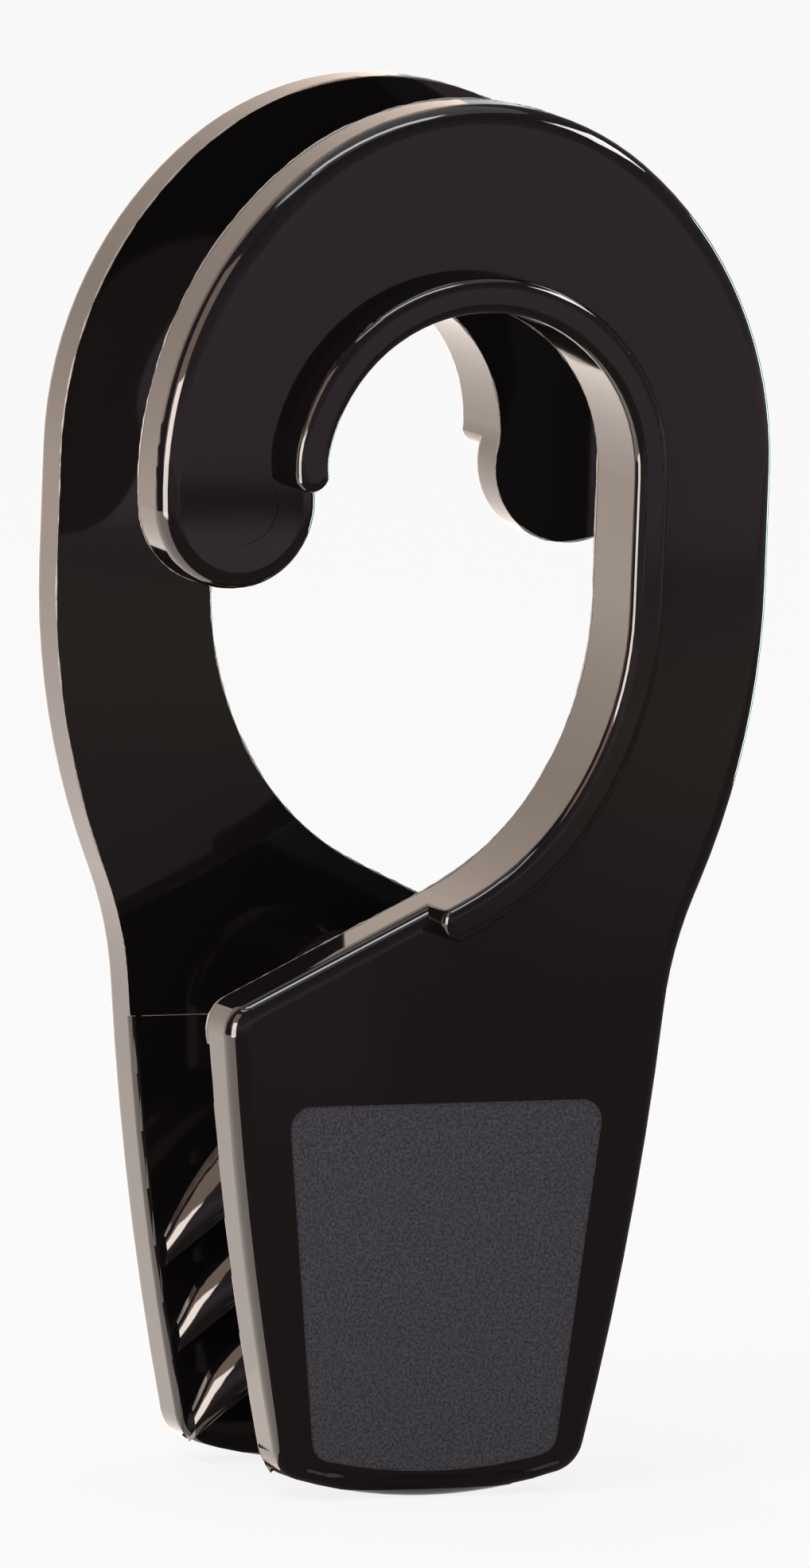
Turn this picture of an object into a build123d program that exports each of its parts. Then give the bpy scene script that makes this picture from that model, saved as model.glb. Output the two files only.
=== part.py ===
from build123d import *
import math
import os

# Fender hanger for boat rails: one glossy moulding of two hooked plates, millimetres.
# The origin is the middle of the rail seat, +Z up, the front plate lies towards -Y.
# The rear plate is the front one turned half a turn about Z, with its own hook.

# Plates
plate_gap = 22.2
plate_thickness = 7.0
half_width = 39.1
outer_edge_radius = 2.2

# Throat below the rail seats, the same in both plates
throat_wall = 19.4
throat_level = 16.4
throat_radius = 40.0
throat_angle = 33.4
throat_foot_radius = 33.5
throat_foot_angle = 31.1

# Hooks: the rear one closes further in than the front one
front_seat_radius = 19.7
front_seat_drop = 1.0
front_tip_drop = 3.8
front_tip_inset = 0.3
front_tip_overlap = 0.9
rear_seat_radius = 18.2
rear_seat_drop = 0.0
rear_tip_drop = 3.6
rear_tip_inset = 4.1
rear_tip_overlap = 0.2
neck_radius = 8.0
mouth_corner_radius = 4.0

# Crown and sides
crown_height = 42.5
crown_radius = 35.0
crown_half_angle = 38.0
side_straight = 13.5
hip_radius = 90.0
hip_angle = 22.9
hip_straight = 1.5
waist_radius = 45.0
waist_angle = 17.5
flank_radius = 380.0
flank_angle = 8.2
base_bulge = 3.1
base_corner_radius = 4.5

# Raised rim round the rail seat
rim_width = 4.2
rim_height = 4.4
rim_edge_radius = 1.2
rim_root = 3.0
rim_nose_bulge = 1.4
rim_nose_angle = 6.0
rim_foot_run = 2.0

# Web that joins the plates, with a saddle on top for the line
saddle_radius = 9.5
saddle_depth = 10.2
web_foot_half_width = 6.0
web_foot_lift = 5.0
web_foot_radius = 2.5
web_root_radius = 2.5

# Cleat teeth in the two side channels. Each section has its share of the way from the
# edge to the web, and the share of the full ramp that it has there.
tooth_count = 3
tooth_pitch = 10.3
tooth_edge_inset = 1.2
first_tooth_drop = 46.6
tooth_root = 0.6
tooth_lean_angle = 43.0
tooth_ramp = 8.2
tooth_bulge_ratio = 0.12
tooth_end_height = 1.2
tooth_slope_ratio = 0.38
tooth_undercut_ratio = 0.5
tooth_web_bite = 1.0
tooth_section_ratios = ((0.0, 0.45), (0.12, 0.72), (0.4, 1.0), (1.0, 1.0))

# Softened inner edge beside the cleats, below the insert line of the mould
insert_below_seat = 67.6
cleat_edge_radius = 0.8

# Grained field on the lower body, and the ejector mark on the hook tip
field_depth = 0.15
field_top_below_seat = 74.3
field_height = 41.4
field_top_width = 40.4
field_foot_width = 31.0
field_foot_bulge = 1.9
field_corner_radius = 2.6
ejector_radius = 4.5
ejector_depth = 0.1

# How far off a plane an edge may lie and still count as on it
plane_tolerance = plate_thickness / 10000


def straight(start, heading, length):
    angle = math.radians(heading)
    return Line(start, (start[0] + length * math.cos(angle), start[1] + length * math.sin(angle)))


def bend(start, heading, radius, turn):
    """An arc that leaves start along heading and turns by turn degrees, left if positive."""
    angle = math.radians(heading)
    return JernArc(start, (math.cos(angle), math.sin(angle)), radius, turn)


def end_of(edge):
    point = edge @ 1
    return (point.X, point.Y)


def chain(start, heading, steps):
    """Tangent lines and arcs. A step is (None, length) or (radius, turn)."""
    edges = []
    for radius, amount in steps:
        if radius is None:
            edge = straight(start, heading, amount)
        else:
            edge = bend(start, heading, radius, amount)
            heading += amount
        edges.append(edge)
        start = end_of(edge)
    return edges, start, heading


def on_circle(centre, radius, degrees):
    angle = math.radians(degrees)
    return (centre[0] + radius * math.cos(angle), centre[1] + radius * math.sin(angle))


def arc_about(centre, radius, first, last):
    """The arc round centre from the angle first to the angle last, in degrees."""
    places = [on_circle(centre, radius, a) for a in (first, (first + last) / 2, last)]
    return ThreePointArc(*places)


def angle_to(start, end):
    """The direction from start to end, from 0 to 360 degrees."""
    return math.degrees(math.atan2(end[1] - start[1], end[0] - start[0])) % 360


def crown_centre():
    return (0.0, crown_height - crown_radius)


def shoulder_circle():
    """Centre and radius of the left shoulder, between the crown's arc and the side."""
    joint = 90.0 + crown_half_angle
    crown_reach = crown_radius * math.sin(math.radians(crown_half_angle))
    radius = (half_width - crown_reach) / (1 - math.sin(math.radians(crown_half_angle)))
    return on_circle(crown_centre(), crown_radius - radius, joint), radius


def side_chain():
    """The right side of the outline, from the crown's top down to the base corner."""
    _, shoulder_radius = shoulder_circle()
    steps = [
        (crown_radius, -crown_half_angle),
        (shoulder_radius, crown_half_angle - 90.0),
        (None, side_straight),
        (hip_radius, -hip_angle),
        (None, hip_straight),
        (waist_radius, waist_angle),
        (flank_radius, -flank_angle),
    ]
    return chain((0, crown_height), 0.0, steps)


def left_flank():
    """Centre of the left flank's arc, and the angle where it ends at the base corner."""
    edges, corner, _ = side_chain()
    centre = (-edges[-1].arc_center.X, edges[-1].arc_center.Y)
    return centre, angle_to(centre, (-corner[0], corner[1]))


def throat_steps(drop, grow=0.0):
    """The throat's right wall and foot below a seat, grow mm outside the opening's edge."""
    return [
        (None, throat_level - drop),
        (throat_radius + grow, -throat_angle),
        (throat_foot_radius + grow, -throat_foot_angle),
    ]


def throat_foot():
    """Where the throat's foot runs out into the mouth's straight edge, and its heading."""
    _, foot, heading = chain((throat_wall, 0), -90.0, throat_steps(0.0))
    return foot, heading


def mouth_corner():
    """Where the mouth's straight edge meets the left flank."""
    foot, heading = throat_foot()
    centre, _ = left_flank()
    way = (math.cos(math.radians(heading)), math.sin(math.radians(heading)))
    off = (foot[0] - centre[0], foot[1] - centre[1])
    along = off[0] * way[0] + off[1] * way[1]
    reach = math.sqrt(along**2 - off[0] ** 2 - off[1] ** 2 + flank_radius**2) - along
    return (foot[0] + reach * way[0], foot[1] + reach * way[1])


def hook_circles(seat_radius, seat_drop, tip_drop, tip_inset, tip_overlap):
    """A hook's seat, tip and neck circles. The tip reaches out to tip_inset mm inside the
    half width and overlaps the seat's circle; the neck touches both."""
    seat = (throat_wall - seat_radius, -seat_drop)
    fall = tip_drop - seat_drop
    reach = half_width - tip_inset + seat[0]
    bare = seat_radius - tip_overlap
    tip_radius = (reach**2 - bare**2 + fall**2) / (2 * (reach + bare))
    tip = (tip_inset + tip_radius - half_width, -tip_drop)
    apart = bare + tip_radius
    inner = seat_radius - neck_radius
    outer = tip_radius + neck_radius
    away = math.degrees(math.acos((apart**2 + inner**2 - outer**2) / (2 * apart * inner)))
    neck = on_circle(seat, inner, angle_to(seat, tip) - away)
    return {
        "seat": seat,
        "seat_radius": seat_radius,
        "seat_end": angle_to(seat, neck),
        "neck": neck,
        "neck_end": angle_to(neck, tip),
        "tip": tip,
        "tip_radius": tip_radius,
    }


def front_hook():
    return hook_circles(
        front_seat_radius, front_seat_drop, front_tip_drop, front_tip_inset, front_tip_overlap
    )


def rear_hook():
    return hook_circles(
        rear_seat_radius, rear_seat_drop, rear_tip_drop, rear_tip_inset, rear_tip_overlap
    )


def heel_circle(hook):
    """Centre and radius of the heel, which touches the tip's lowest point and the shoulder."""
    shoulder, shoulder_radius = shoulder_circle()
    lowest = hook["tip"][1] - hook["tip_radius"]
    run = hook["tip"][0] - shoulder[0]
    rise = lowest - shoulder[1]
    radius = (shoulder_radius**2 - run**2 - rise**2) / (2 * (shoulder_radius + rise))
    return (hook["tip"][0], lowest + radius), radius


def hook_arm(hook):
    """The hook's outer side: under the tip, round the heel, over the shoulder and the crown."""
    shoulder, shoulder_radius = shoulder_circle()
    heel, heel_radius = heel_circle(hook)
    heel_end = angle_to(shoulder, heel)
    crown_end = 90.0 + crown_half_angle
    return [
        arc_about(hook["tip"], hook["tip_radius"], hook["neck_end"] - 180.0, -90.0),
        arc_about(heel, heel_radius, -90.0, heel_end - 360.0),
        arc_about(shoulder, shoulder_radius, heel_end, crown_end),
        arc_about(crown_centre(), crown_radius, crown_end, 90.0),
    ]


def plate_outline(hook):
    """The hooked plate, its mouth open to the left: one closed line of arcs and straights."""
    spine, corner, _ = side_chain()
    left_corner = (-corner[0], corner[1])
    flank, flank_foot = left_flank()
    mouth = mouth_corner()
    seat_right = (throat_wall, hook["seat"][1])
    throat, foot, _ = chain(seat_right, -90.0, throat_steps(-hook["seat"][1]))
    edges = spine + [
        ThreePointArc(corner, (0, corner[1] - base_bulge), left_corner),
        arc_about(flank, flank_radius, flank_foot, angle_to(flank, mouth)),
        Line(mouth, foot),
    ]
    edges += throat + [
        arc_about(hook["seat"], hook["seat_radius"], 0.0, hook["seat_end"]),
        arc_about(hook["neck"], neck_radius, hook["seat_end"], hook["neck_end"]),
    ]
    face = make_face(Curve() + edges + hook_arm(hook))
    for place in (corner, left_corner):
        face = fillet(nearest_vertex(face, place), base_corner_radius)
    return fillet(nearest_vertex(face, mouth), mouth_corner_radius)


def nearest_vertex(shape, point):
    return shape.vertices().sort_by_distance((point[0], point[1], 0))[0]


def thick(sketch, start, depth):
    """A sketch in X and Z, extruded towards -Y from start mm in front of the middle plane."""
    return extrude(Plane.XZ.offset(start) * sketch, amount=depth)


def edges_at_depth(solid, y):
    """Edges that lie flat in the plane at depth y."""
    low = solid.edges().filter_by(lambda e: abs(e.bounding_box().min.Y - y) < plane_tolerance)
    return low.filter_by(lambda e: abs(e.bounding_box().max.Y - y) < plane_tolerance)


def hook_plate(hook):
    """A front plate: its outer edge is rounded all round, its inner edge only by the cleats."""
    inner_y = -plate_gap / 2
    outer_y = inner_y - plate_thickness
    plate = thick(plate_outline(hook), plate_gap / 2, plate_thickness)
    plate = fillet(edges_at_depth(plate, outer_y), outer_edge_radius)
    tall = 2 * (crown_height - base_level())
    below = Pos(0, outer_y, -insert_below_seat - tall / 2) * Box(tall, tall, tall)
    lower = plate & below
    upper = plate - below
    cleat_edge = edges_at_depth(lower, inner_y).filter_by(
        lambda e: e.bounding_box().min.Z < -insert_below_seat - plane_tolerance
    )
    return upper + fillet(cleat_edge, cleat_edge_radius)


def rim_path(hook, grow):
    """The opening's edge from the hook's neck to the throat's foot, grow mm outside it."""
    neck_start = hook["neck_end"] - rim_nose_angle
    seat_right = (throat_wall + grow, hook["seat"][1])
    throat, foot, heading = chain(seat_right, -90.0, throat_steps(-hook["seat"][1], grow))
    arcs = [
        arc_about(hook["neck"], neck_radius + grow, neck_start, hook["seat_end"]),
        arc_about(hook["seat"], hook["seat_radius"] + grow, hook["seat_end"], 0.0),
    ]
    return arcs + throat + [straight(foot, heading, rim_foot_run)]


def nose(inner, outer, turn):
    """The rim's bulging end, its heading turn degrees from the way across the rim."""
    middle = ((inner.X + outer.X) / 2, (inner.Y + outer.Y) / 2)
    across = angle_to((inner.X, inner.Y), (outer.X, outer.Y))
    return ThreePointArc(inner, on_circle(middle, rim_nose_bulge, across + turn), outer)


def rim_outline(hook):
    """A band along the opening's edge, with a rounded nose at each end."""
    inside = rim_path(hook, 0.0)
    outside = rim_path(hook, rim_width)
    noses = [nose(inside[0] @ 0, outside[0] @ 0, 90), nose(inside[-1] @ 1, outside[-1] @ 1, -90)]
    return make_face(Curve() + inside + outside + noses)


def rim(hook):
    """The raised rim, rooted inside the plate so that it covers the plate's rounded edge."""
    start = plate_gap / 2 + plate_thickness - rim_root
    band = thick(rim_outline(hook), start, rim_root + rim_height)
    top_y = -(start + rim_root + rim_height)
    return fillet(edges_at_depth(band, top_y), rim_edge_radius)


def base_level():
    _, corner, _ = side_chain()
    return corner[1] - base_bulge


def web_outline():
    foot, _ = throat_foot()
    saddle_top = foot[1] - saddle_depth
    centre_z = saddle_top - saddle_radius
    foot_z = base_level() + web_foot_lift
    left = Line((-saddle_radius, centre_z), (-web_foot_half_width, foot_z))
    right = Line((saddle_radius, centre_z), (web_foot_half_width, foot_z))
    top = ThreePointArc((-saddle_radius, centre_z), (0, saddle_top), (saddle_radius, centre_z))
    face = make_face(Curve() + [left, top, right, Line(left @ 1, right @ 1)])
    feet = [nearest_vertex(face, (s * web_foot_half_width, foot_z)) for s in (-1, 1)]
    return fillet(feet, web_foot_radius)


def web():
    """The web between the plates, its top rounded as a saddle for the line."""
    return thick(web_outline(), -plate_gap / 2, plate_gap)


def web_root_edges(body):
    box = web_outline().bounding_box()
    found = []
    for side in (-1, 1):
        for edge in edges_at_depth(body, side * plate_gap / 2):
            place = edge.center()
            level = box.min.Y - plane_tolerance <= place.Z <= box.max.Y + plane_tolerance
            if abs(place.X) <= saddle_radius and level:
                found.append(edge)
    return found


def tooth(index):
    """One tooth on the rear plate's inner face in the left channel: a shingle that rises to
    a sharp lower edge, which climbs towards the web."""
    lean = math.tan(math.radians(tooth_lean_angle))
    foot, _ = throat_foot()
    level = foot[1] - first_tooth_drop - index * tooth_pitch
    edge_x = flank_x(level) - tooth_edge_inset
    run = edge_x - web_foot_half_width + tooth_web_bite
    sections = []
    for share, ramp_share in tooth_section_ratios:
        x = edge_x - share * run
        height = tooth_end_height + tooth_slope_ratio * share * run
        crest_z = level + lean * share * run
        sections.append(tooth_section(x, height, crest_z, tooth_ramp * ramp_share))
    return loft(sections)


def tooth_section(x, height, crest_z, ramp):
    face_y = plate_gap / 2
    foot = (face_y + tooth_root, crest_z - tooth_undercut_ratio * (height + tooth_root))
    crest = (face_y - height, crest_z)
    top = (face_y + tooth_root, crest_z + ramp)
    bulge = tooth_bulge_ratio * ramp
    middle = ((crest[0] + top[0]) / 2 - bulge, (crest[1] + top[1]) / 2 + bulge)
    plane = Plane(origin=(-x, 0, 0), x_dir=(0, 1, 0), z_dir=(1, 0, 0))
    outline = Curve() + [Line(foot, crest), ThreePointArc(crest, middle, top), Line(top, foot)]
    return plane * make_face(outline)


def flank_x(z):
    """Half the lower body's width at height z."""
    centre, _ = left_flank()
    return math.sqrt(flank_radius**2 - (z - centre[1]) ** 2) - centre[0]


def cleat_teeth():
    """Both walls of both channels, the right channel being the left one turned half round."""
    left = [tooth(index) for index in range(tooth_count)]
    left += [mirror(one, Plane.XZ) for one in left]
    return left + [Rot(0, 0, 180) * one for one in left]


def field_outline():
    """The grained field: a trapezoid with rounded corners and a bowed foot."""
    top_z = -field_top_below_seat
    foot_z = top_z - field_height
    top_right = (field_top_width / 2, top_z)
    foot_right = (field_foot_width / 2, foot_z)
    top_left = (-top_right[0], top_z)
    foot_left = (-foot_right[0], foot_z)
    sides = [
        Line(top_left, top_right),
        Line(top_right, foot_right),
        ThreePointArc(foot_right, (0, foot_z - field_foot_bulge), foot_left),
        Line(foot_left, top_left),
    ]
    face = make_face(Curve() + sides)
    return fillet(face.vertices(), field_corner_radius)


def finished_plate(hook):
    """A front plate with its rim, its grained field and the ejector mark on its tip."""
    outer = plate_gap / 2 + plate_thickness
    mark = Pos(*hook["tip"]) * Circle(ejector_radius)
    plate = hook_plate(hook) + rim(hook)
    plate -= thick(field_outline(), outer - field_depth, plate_thickness)
    return plate - thick(mark, outer - ejector_depth, ejector_depth)


def hanger_body():
    front = finished_plate(front_hook())
    rear = Rot(0, 0, 180) * finished_plate(rear_hook())
    body = front + rear + web()
    body = fillet(web_root_edges(body), web_root_radius)
    for one in cleat_teeth():
        body += one
    return body


def main():
    os.makedirs("parts", exist_ok=True)
    body = hanger_body()
    export_step(body, "parts/hanger_body.step")
    print("hanger_body", round(body.volume), "mm3", len(body.solids()), "solid", len(body.faces()), "faces")


main()
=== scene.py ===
import math
import random
import bpy
from mathutils import Matrix, Vector


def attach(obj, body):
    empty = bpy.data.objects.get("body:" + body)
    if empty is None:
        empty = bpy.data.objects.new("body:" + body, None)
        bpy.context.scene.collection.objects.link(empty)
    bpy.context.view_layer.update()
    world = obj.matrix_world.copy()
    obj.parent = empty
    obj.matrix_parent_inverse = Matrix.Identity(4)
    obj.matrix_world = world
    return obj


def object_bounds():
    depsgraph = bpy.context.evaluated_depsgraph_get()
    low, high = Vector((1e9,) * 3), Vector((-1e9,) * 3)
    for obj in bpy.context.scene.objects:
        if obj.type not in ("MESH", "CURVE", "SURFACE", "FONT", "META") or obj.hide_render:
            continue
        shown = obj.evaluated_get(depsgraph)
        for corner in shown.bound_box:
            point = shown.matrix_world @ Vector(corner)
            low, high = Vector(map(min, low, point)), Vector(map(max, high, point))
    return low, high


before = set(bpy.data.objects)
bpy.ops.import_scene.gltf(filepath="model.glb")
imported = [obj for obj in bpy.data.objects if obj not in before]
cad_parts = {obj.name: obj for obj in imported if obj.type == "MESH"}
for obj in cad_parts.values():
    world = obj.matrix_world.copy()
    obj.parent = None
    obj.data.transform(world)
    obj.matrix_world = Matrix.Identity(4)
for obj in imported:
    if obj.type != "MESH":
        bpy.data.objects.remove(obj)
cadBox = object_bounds()
print("stage: frame loaded")

# The studio: degrees and metres, radiances where 1 is white.
studio = {
    "viewAzimuth": -24.64,
    "viewElevation": 7.65,
    "viewRoll": 2.12,
    "viewDistance": 3.9,
    "lensMm": 767.8,
    "sensorMm": 36.0,
    "clip": (0.5, 60.0),
    "aim": (0.0, 0.0, -0.0384),
    "shift": (0.0066, -0.0051),
    "floorSize": 40.0,
    "floorHex": "#f2f1ef",
    "floorWhiteShare": 0.85,
    "roomBehind": 1.15,
    "roomFront": 0.5,
    # the stretch of the room's Y axis over which its front turns into what is behind
    "roomFade": (-0.25, 0.45),
    # the narrow strips and boxes are seen in gloss alone, so that the light on the object stays
    # at a plain level
    "glossOnly": ("leftStrip", "topRightBox", "crownBox", "rightStrip", "teethBox"),
    # name: azimuth, elevation, distance, width, height, radiance, colour
    "lamps": {
        "leftStrip": (-68, -6, 0.36, 0.17, 0.34, 15.0, "#fff4ea"),
        "topRightBox": (68, 44, 0.36, 0.16, 0.07, 16.0, "#ffffff"),
        "crownBox": (-20, 74, 0.36, 0.22, 0.06, 9.0, "#ffffff"),
        "rightStrip": (114, -7, 0.36, 0.035, 0.42, 14.0, "#d6fff4"),
        "teethBox": (-74, 24, 0.36, 0.2, 0.28, 2.6, "#ffdcc6"),
        "ceiling": (-60, 50, 1.7, 0.8, 0.8, 5.0, "#ffffff"),
    },
    "cardSteps": 24,
    "cardLift": 0.001,
    # curved cards round the object that glow, seen in gloss alone, so that their paint is painted
    # reflection on the object: azimuths, foot radius, wall radius, top, the azimuth and slope along
    # which the paint falls, radiance, and the paint by height in mm
    "cards": {
        "frontTent": (-60, 150, 0.004, 0.42, 0.62, 24.5, 0.1345, 1.0, {
            -125: "#685c5a", -60: "#6c605e", -44: "#8a7a7a", -26: "#9c9280", -8: "#8c8086",
            -6: "#80767c", -2: "#b09eaa", 45: "#b6a2b0", 90: "#8a7c84", 300: "#6a6066"}),
        # its light and dark bands are a painted highlight and a painted dark band in the lobe's
        # reflection
        "lobeCard": (12.5, 21.5, 0.3, 0.3, -0.0383, 24.5, 0.1345, 1.0, {
            -80: "#726466", -44: "#8a7a7a", -26: "#9c9280", -10: "#8c8086", -9: "#c8b6c0",
            -3.2: "#d2c0ca", -2.9: "#4c4444", 2: "#463e3e", 2.4: "#9a8a94"}),
        "leftTent": (-127, -60, 0.42, 0.42, 0.62, 24.5, 0.0, 1.0, {
            -125: "#5c4e4e", 300: "#6a6066"}),
        "leftSheet": (-127, -60, 0.02, 0.42, -0.119, -155.6, 0.1345, 2.9, {
            -125: "#fff0e6", 0: "#fbe6d8"}),
        # a dark card close round the foot: painted shade in the reflections of the lower body
        "underCard": (-180, 180, 0.0, 0.024, -0.119, 24.5, 0.0, 1.0, {
            -125: "#4c4242", 0: "#4c4242"}),
        "backLeftCard": (-205, -127, 0.02, 0.5, 0.75, -155.6, 0.1345, 2.6, {
            -125: "#fff2ea", 0: "#fbe6d8", 60: "#efdacc", 200: "#d8c4b6", 500: "#c8b8ac"}),
    },
}


def linearFromHex(code):
    parts = [int(code[i:i + 2], 16) / 255 for i in (1, 3, 5)]
    return tuple(c / 12.92 if c <= 0.04045 else ((c + 0.055) / 1.055) ** 2.4 for c in parts) + (1.0,)


def addNode(tree, kind, settings=None, inputs=None, links=None):
    # settings are the node's own, inputs are socket values, links bring outputs to sockets
    node = tree.nodes.new("ShaderNode" + kind)
    for name, value in (settings or {}).items():
        setattr(node, name, value)
    for name, value in (inputs or {}).items():
        node.inputs[name].default_value = value
    for name, output in (links or {}).items():
        tree.links.new(output, node.inputs[name])
    return node


def newMaterial(name):
    material = bpy.data.materials.new(name)
    material.use_nodes = True
    material.node_tree.nodes.clear()
    return material, material.node_tree


def newObject(name, data):
    made = bpy.data.objects.new(name, data)
    bpy.context.scene.collection.objects.link(made)
    return made


def newMesh(name, corners, faces):
    mesh = bpy.data.meshes.new(name)
    mesh.from_pydata(corners, [], faces)
    return newObject(name, mesh)


def directionFrom(azimuth, elevation):
    # the way from the object to a camera or lamp, by the same angles as the views
    a, e = math.radians(azimuth), math.radians(elevation)
    return Vector((math.sin(a) * math.cos(e), -math.cos(a) * math.cos(e), math.sin(e)))


def seenDirectly(tree):
    # 1 for the camera's own rays and for those that gloss and glass send on
    path = addNode(tree, "LightPath")
    first = addNode(tree, "Math", {"operation": "MAXIMUM"}, None,
                    {0: path.outputs["Is Camera Ray"], 1: path.outputs["Is Glossy Ray"]})
    both = addNode(tree, "Math", {"operation": "MAXIMUM"}, None,
                   {0: first.outputs[0], 1: path.outputs["Is Transmission Ray"]})
    return both.outputs[0]


def makeCamera():
    back = directionFrom(studio["viewAzimuth"], studio["viewElevation"])
    right = Vector((-back.y, back.x, 0)).normalized()
    up = back.cross(right)
    roll = math.radians(studio["viewRoll"])
    sideways = right * math.cos(roll) + up * math.sin(roll)
    upward = up * math.cos(roll) - right * math.sin(roll)
    data = bpy.data.cameras.new("camera")
    data.lens = studio["lensMm"]
    data.sensor_fit = "AUTO"
    data.sensor_width = studio["sensorMm"]
    data.shift_x, data.shift_y = studio["shift"]
    data.clip_start, data.clip_end = studio["clip"]
    camera = newObject("camera", data)
    turn = Matrix((sideways, upward, back)).transposed().to_4x4()
    place = Vector(studio["aim"]) + back * studio["viewDistance"]
    camera.matrix_world = Matrix.Translation(place) @ turn
    bpy.context.scene.camera = camera


def makeFloor(level):
    half = studio["floorSize"] / 2
    corners = [(-half, -half, level), (half, -half, level),
               (half, half, level), (-half, half, level)]
    floor = newMesh("floor", corners, [(0, 1, 2, 3)])
    material, tree = newMaterial("matt_painted_floor")
    paint = addNode(tree, "BsdfDiffuse", inputs={"Color": linearFromHex(studio["floorHex"])})
    white = addNode(tree, "Emission", inputs={"Strength": 1.0})
    share = addNode(tree, "Math", {"operation": "MULTIPLY"}, {1: studio["floorWhiteShare"]},
                    {0: seenDirectly(tree)})
    both = addNode(tree, "MixShader",
                   links={0: share.outputs[0], 1: paint.outputs[0], 2: white.outputs[0]})
    addNode(tree, "OutputMaterial", links={"Surface": both.outputs[0]})
    floor.data.materials.append(material)


def makeRoom():
    # bright behind the object and dimmer in front of it; camera and gloss see plain white
    world = bpy.data.worlds.new("studio_room")
    bpy.context.scene.world = world
    world.use_nodes = True
    tree = world.node_tree
    tree.nodes.clear()
    place = addNode(tree, "TexCoord")
    axes = addNode(tree, "SeparateXYZ", links={0: place.outputs["Generated"]})
    start, end = studio["roomFade"]
    glow = addNode(tree, "MapRange", {"interpolation_type": "SMOOTHSTEP"},
                   {"From Min": start, "From Max": end, "To Min": studio["roomFront"],
                    "To Max": studio["roomBehind"]}, {"Value": axes.outputs["Y"]})
    strength = addNode(tree, "Mix", {"data_type": "FLOAT"}, {3: 1.0},
                       {0: seenDirectly(tree), 2: glow.outputs[0]})
    room = addNode(tree, "Background", links={"Strength": strength.outputs[0]})
    addNode(tree, "OutputWorld", links={"Surface": room.outputs[0]})


def makeLamps():
    aim = Vector(studio["aim"])
    for name, values in studio["lamps"].items():
        azimuth, elevation, distance, width, height, radiance, colour = values
        data = bpy.data.lights.new(name, "AREA")
        data.shape = "RECTANGLE"
        data.size, data.size_y = width, height
        data.energy = radiance * math.pi * width * height
        data.color = linearFromHex(colour)[:3]
        lamp = newObject(name, data)
        way = directionFrom(azimuth, elevation)
        lamp.location = aim + way * distance
        lamp.rotation_mode = "QUATERNION"
        lamp.rotation_quaternion = way.to_track_quat("Z", "Y")
        lamp.visible_camera = False
        lamp.visible_diffuse = name not in studio["glossOnly"]


def cardMaterial(name, fall, radiance, paint):
    # glowing paint in bands by height, which sink along the fall; the object's gloss shows it as
    # painted reflection
    material, tree = newMaterial(name + "_painted_reflection_card")
    position = addNode(tree, "TexCoord").outputs["Object"]
    height = addNode(tree, "VectorMath", {"operation": "DOT_PRODUCT"}, {1: fall}, {0: position})
    low, high = min(paint), max(paint)
    share = addNode(tree, "MapRange", None, {"From Min": low / 1000, "From Max": high / 1000},
                    {"Value": height.outputs["Value"]})
    ramp = addNode(tree, "ValToRGB", links={0: share.outputs[0]})
    stops = ramp.color_ramp.elements
    for level, code in paint.items():
        if level == low:
            stop = stops[0]
        elif level == high:
            stop = stops[-1]
        else:
            stop = stops.new((level - low) / (high - low))
        stop.color = linearFromHex(code)
    glow = addNode(tree, "Emission", inputs={"Strength": radiance},
                   links={"Color": ramp.outputs[0]})
    addNode(tree, "OutputMaterial", links={"Surface": glow.outputs[0]})
    return material


def makeCard(name, level):
    # a sheet that lies just above the floor from its foot radius out, then stands up in an arc
    first, last, near, radius, top, fallAzimuth, fallSlope, radiance, paint = studio["cards"][name]
    steps = studio["cardSteps"]
    lying, standing = Vector((0, 0, level + studio["cardLift"])), Vector((0, 0, top))
    corners = []
    for step in range(steps + 1):
        way = directionFrom(first + (last - first) * step / steps, 0.0)
        corners += [way * near + lying, way * radius + lying, way * radius + standing]
    quads = []
    for step in range(steps):
        here, there = 3 * step, 3 * step + 3
        quads += [(here, here + 1, there + 1, there), (here + 1, here + 2, there + 2, there + 1)]
    card = newMesh(name, corners, quads)
    card.visible_camera = False
    card.visible_diffuse = False
    card.visible_shadow = False
    fall = directionFrom(fallAzimuth, 0.0) * fallSlope + Vector((0, 0, 1))
    card.data.materials.append(cardMaterial(name, fall, radiance, paint))


# Injection-moulded black ABS. The polished mould gives sharp reflections; the field on the
# lower body comes from a spark-eroded patch of the mould, whose pits scatter them to a grey. That
# grey is painted into the field's colour as painted sheen, darker in the pits as painted shade.
moulding = {
    "colour": "#151112",
    # the field's grey as painted sheen: darker for painted shade in the pits, lighter between them
    "paintedSheenColours": ("#2a2a30", "#4e4d56"),
    "ior": 1.54,
    "glossRoughness": 0.06,
    "mattRoughness": 0.52,
    "grainMm": 0.32,
    "grainDepthMm": 0.09,
    "grainDetail": 2.0,
    # the noise levels for the field's painted shade in the pits and its painted sheen between them
    "grainLevels": (0.38, 0.62),
    "ripplesMm": 16.0,
    "rippleDepthMm": 0.02,
    "rippleDetail": 1.0,
    # the field's floor: depth from the middle plane, top and foot, and half widths there, in mm
    "fieldDepth": (17.9, 18.02),
    "fieldTop": -74.3,
    "fieldFoot": -118.0,
    "fieldHalfTop": 20.4,
    "fieldHalfFoot": 15.4,
    "fieldSideMargin": 0.6,
    "fieldTopMargin": 0.3,
}


def product(tree, first, second):
    both = addNode(tree, "Math", {"operation": "MULTIPLY"}, None, {0: first, 1: second})
    return both.outputs[0]


def between(tree, value, low, high):
    # 1 where the value lies between low and high
    above = addNode(tree, "Math", {"operation": "GREATER_THAN"}, {1: low}, {0: value})
    below = addNode(tree, "Math", {"operation": "LESS_THAN"}, {1: high}, {0: value})
    return product(tree, above.outputs[0], below.outputs[0])


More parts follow.
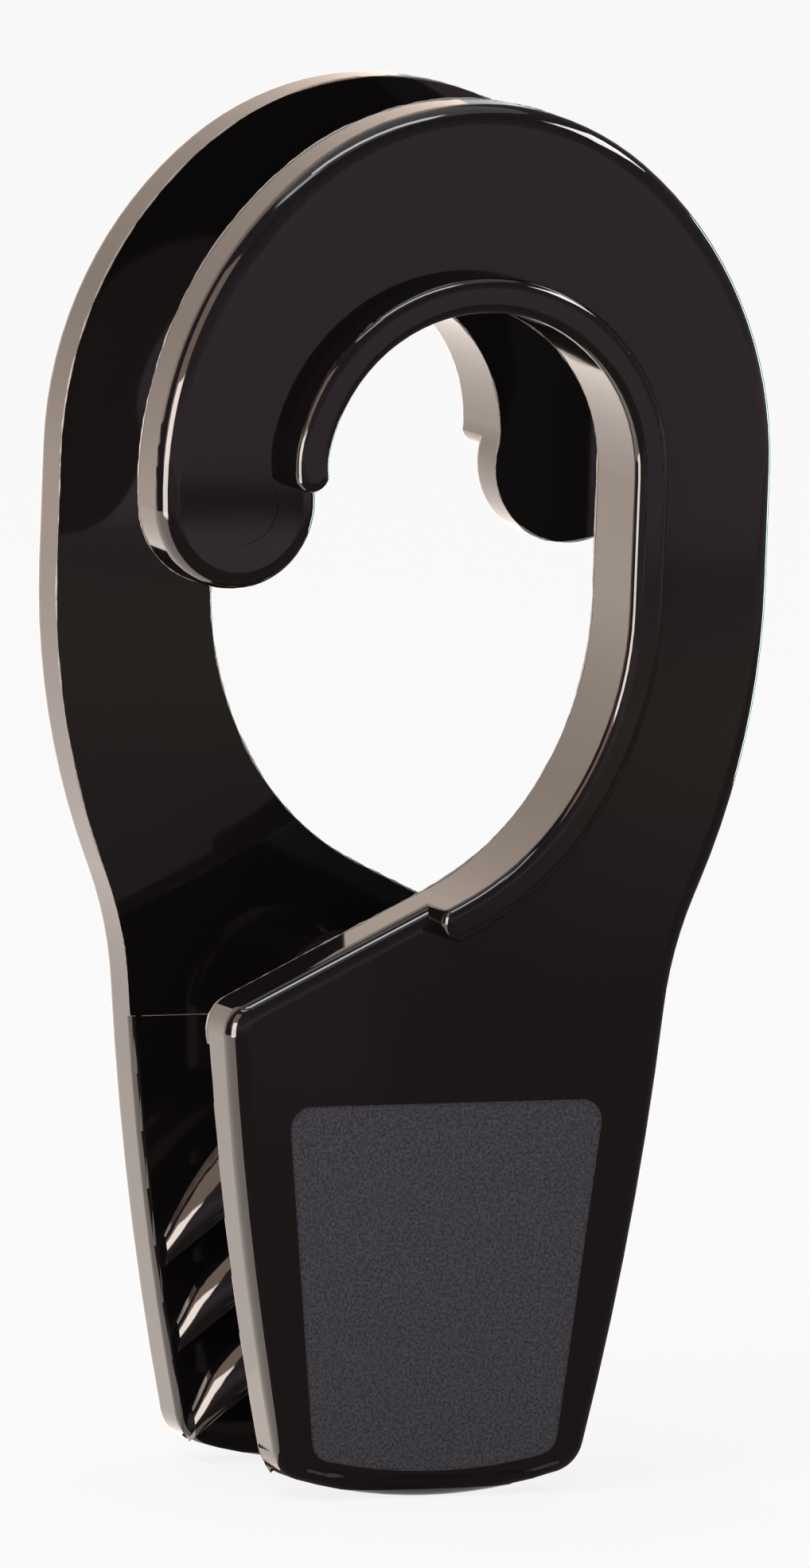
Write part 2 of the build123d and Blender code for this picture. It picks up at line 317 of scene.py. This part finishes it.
def fieldMask(tree, position):
    # 1 on the sunk floor of either grained field
    axes = addNode(tree, "SeparateXYZ", links={0: position})
    depth = addNode(tree, "Math", {"operation": "ABSOLUTE"}, links={0: axes.outputs["Y"]})
    sideways = addNode(tree, "Math", {"operation": "ABSOLUTE"}, links={0: axes.outputs["X"]})
    top, foot = moulding["fieldTop"] / 1000, moulding["fieldFoot"] / 1000
    sideMargin = moulding["fieldSideMargin"] / 1000
    half = addNode(tree, "MapRange", None, {
        "From Min": foot,
        "From Max": top,
        "To Min": moulding["fieldHalfFoot"] / 1000 + sideMargin,
        "To Max": moulding["fieldHalfTop"] / 1000 + sideMargin,
    }, {"Value": axes.outputs["Z"]})
    low, high = (d / 1000 for d in moulding["fieldDepth"])
    atDepth = between(tree, depth.outputs[0], low, high)
    atHeight = between(tree, axes.outputs["Z"], foot, top + moulding["fieldTopMargin"] / 1000)
    inside = addNode(tree, "Math", {"operation": "LESS_THAN"}, None,
                     {0: sideways.outputs[0], 1: half.outputs[0]})
    return product(tree, product(tree, atDepth, atHeight), inside.outputs[0])


def makeMoulding():
    material, tree = newMaterial("moulded_black_abs")
    position = addNode(tree, "TexCoord").outputs["Object"]
    matt = fieldMask(tree, position)
    roughness = addNode(tree, "MapRange", None, {
        "To Min": moulding["glossRoughness"], "To Max": moulding["mattRoughness"]}, {"Value": matt})
    grain = addNode(tree, "TexNoise", None,
                    {"Scale": 1000 / moulding["grainMm"], "Detail": moulding["grainDetail"]},
                    {"Vector": position})
    grainBump = addNode(tree, "Bump", None, {"Distance": moulding["grainDepthMm"] / 1000},
                        {"Height": product(tree, grain.outputs["Fac"], matt)})
    ripples = addNode(tree, "TexNoise", None,
                      {"Scale": 1000 / moulding["ripplesMm"], "Detail": moulding["rippleDetail"]},
                      {"Vector": position})
    rippleBump = addNode(tree, "Bump", None, {"Distance": moulding["rippleDepthMm"] / 1000},
                         {"Height": ripples.outputs["Fac"], "Normal": grainBump.outputs[0]})
    # the field's grey is painted sheen for the light its grain scatters, darker in the pits as
    # painted shade
    dark, light = (linearFromHex(code) for code in moulding["paintedSheenColours"])
    low, high = moulding["grainLevels"]
    pits = addNode(tree, "MapRange", None, {"From Min": low, "From Max": high},
                   {"Value": grain.outputs["Fac"]})
    paintedSheenAndShade = addNode(tree, "Mix", {"data_type": "RGBA"}, {6: dark, 7: light},
                         {0: pits.outputs[0]})
    colour = addNode(tree, "Mix", {"data_type": "RGBA"}, {6: linearFromHex(moulding["colour"])},
                     {0: matt, 7: paintedSheenAndShade.outputs[2]})
    shader = addNode(tree, "BsdfPrincipled", inputs={"IOR": moulding["ior"]}, links={
        "Base Color": colour.outputs[2],
        "Roughness": roughness.outputs[0],
        "Normal": rippleBump.outputs[0],
    })
    addNode(tree, "OutputMaterial", links={"Surface": shader.outputs[0]})
    return material


# Thin fins of plastic pressed out where the mould's parts meet: along the plates' inner edges, and
# in a straight line across each inner face. They are paler and duller than the moulded face.
flash = {
    "colour": "#8f8880",
    "roughness": 0.4,
    "halfWidthMm": (0.02, 0.15),
    "insertHalfWidthMm": (0.035, 0.06),
    "stepMm": 0.45,
    # the share of its range by which a width may change in a step
    "widthChange": 0.45,
    "diceSeed": 7,
    "innerFace": 11.1,
    "insertLevel": -67.6,
    "insertEnds": (26.2, 8.5),
    # an inner edge lies this near the face in mm, beside a face this square to Y, its two faces
    # agree less than this, and only lines of more corners than this are kept
    "edgeOffFace": 0.02,
    "edgeSquare": 0.99,
    "edgeAgree": 0.3,
    "edgeCorners": 6,
}


def innerEdges(body, side):
    # the polylines where a plate's inner face turns into its walls
    mesh = body.data
    depth = side * flash["innerFace"] / 1000
    corners = [body.matrix_world @ v.co for v in mesh.vertices]
    faces = {}
    for polygon in mesh.polygons:
        for key in polygon.edge_keys:
            ends = tuple(sorted(tuple(round(c, 7) for c in corners[i]) for i in key))
            faces.setdefault(ends, []).append(polygon.normal)
    neighbours = {}
    offFace = flash["edgeOffFace"] / 1000
    for ends, normals in faces.items():
        if any(abs(end[1] - depth) > offFace for end in ends) or len(normals) != 2:
            continue
        flat = [n for n in normals if n.y * side < -flash["edgeSquare"]]
        if len(flat) == 1 and normals[0].dot(normals[1]) < flash["edgeAgree"]:
            neighbours.setdefault(ends[0], []).append(ends[1])
            neighbours.setdefault(ends[1], []).append(ends[0])
    lines = []
    while neighbours:
        start = min(neighbours, key=lambda point: (len(neighbours[point]) != 1, point))
        line = [start]
        while neighbours.get(line[-1]):
            there = neighbours[line[-1]].pop()
            neighbours[there].remove(line[-1])
            line.append(there)
        for point in [point for point in neighbours if not neighbours[point]]:
            del neighbours[point]
        lines.append([Vector(point) for point in line])
    return [line for line in lines if len(line) > flash["edgeCorners"]]


def resampled(line, step):
    # the line with its points about a step apart
    lengths = [0.0]
    for here, there in zip(line, line[1:]):
        lengths.append(lengths[-1] + (there - here).length)
    count = max(2, int(lengths[-1] / step))
    points, at = [], 0
    for n in range(count + 1):
        goal = lengths[-1] * n / count
        while at < len(line) - 2 and lengths[at + 1] < goal:
            at += 1
        span = max(lengths[at + 1] - lengths[at], 1e-9)
        points.append(line[at].lerp(line[at + 1], (goal - lengths[at]) / span))
    return points


def finMesh(name, lines, low, high):
    # four-sided closed fins of uneven width along the lines
    dice = random.Random(flash["diceSeed"])
    verts, quads = [], []
    for line in lines:
        points = resampled(line, flash["stepMm"] / 1000)
        width, first = (low + high) / 2, len(verts)
        for n, point in enumerate(points):
            ahead = points[min(n + 1, len(points) - 1)] - points[max(n - 1, 0)]
            outward = ahead.cross(Vector((0, 1, 0))).normalized()
            change = dice.uniform(-1, 1) * (high - low) * flash["widthChange"]
            width = min(high, max(low, width + change))
            for across, deep in ((1, 0), (0, 1), (-1, 0), (0, -1)):
                depthShift = Vector((0, deep * width / 1000, 0))
                verts.append(point + outward * across * width / 1000 + depthShift)
        for n in range(len(points) - 1):
            here = first + 4 * n
            for k in range(4):
                quads.append((here + k, here + (k + 1) % 4, here + 4 + (k + 1) % 4, here + 4 + k))
        quads += [(first + 3, first + 2, first + 1, first),
                  tuple(range(len(verts) - 4, len(verts)))]
    return newMesh(name, verts, quads)


def makeFlash(body):
    material, tree = newMaterial("torn_edge_abs")
    shader = addNode(tree, "BsdfPrincipled", inputs={
        "Base Color": linearFromHex(flash["colour"]),
        "IOR": moulding["ior"],
        "Roughness": flash["roughness"],
    })
    addNode(tree, "OutputMaterial", links={"Surface": shader.outputs[0]})
    edges = innerEdges(body, 1) + innerEdges(body, -1)
    level, face = flash["insertLevel"] / 1000, flash["innerFace"] / 1000
    outer, inner = (end / 1000 for end in flash["insertEnds"])
    insert = [[Vector((-outer, face, level)), Vector((-inner, face, level))],
              [Vector((outer, -face, level)), Vector((inner, -face, level))]]
    fins = {
        "parting_flash": (edges, flash["halfWidthMm"]),
        "insert_line": (insert, flash["insertHalfWidthMm"]),
    }
    for name, (lines, widths) in fins.items():
        piece = finMesh(name, lines, *widths)
        piece.data.materials.append(material)
        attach(piece, "root")
    print("stage: flash made", len(edges), "lines")


bpy.context.scene.view_settings.view_transform = "Standard"
makeCamera()
makeFloor(cadBox[0].z)
makeRoom()
makeLamps()
for name in studio["cards"]:
    makeCard(name, cadBox[0].z)
print("stage: studio made")

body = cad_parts["hanger_body"]
body.data.materials.clear()
body.data.materials.append(makeMoulding())
print("stage: materials given")

makeFlash(body)
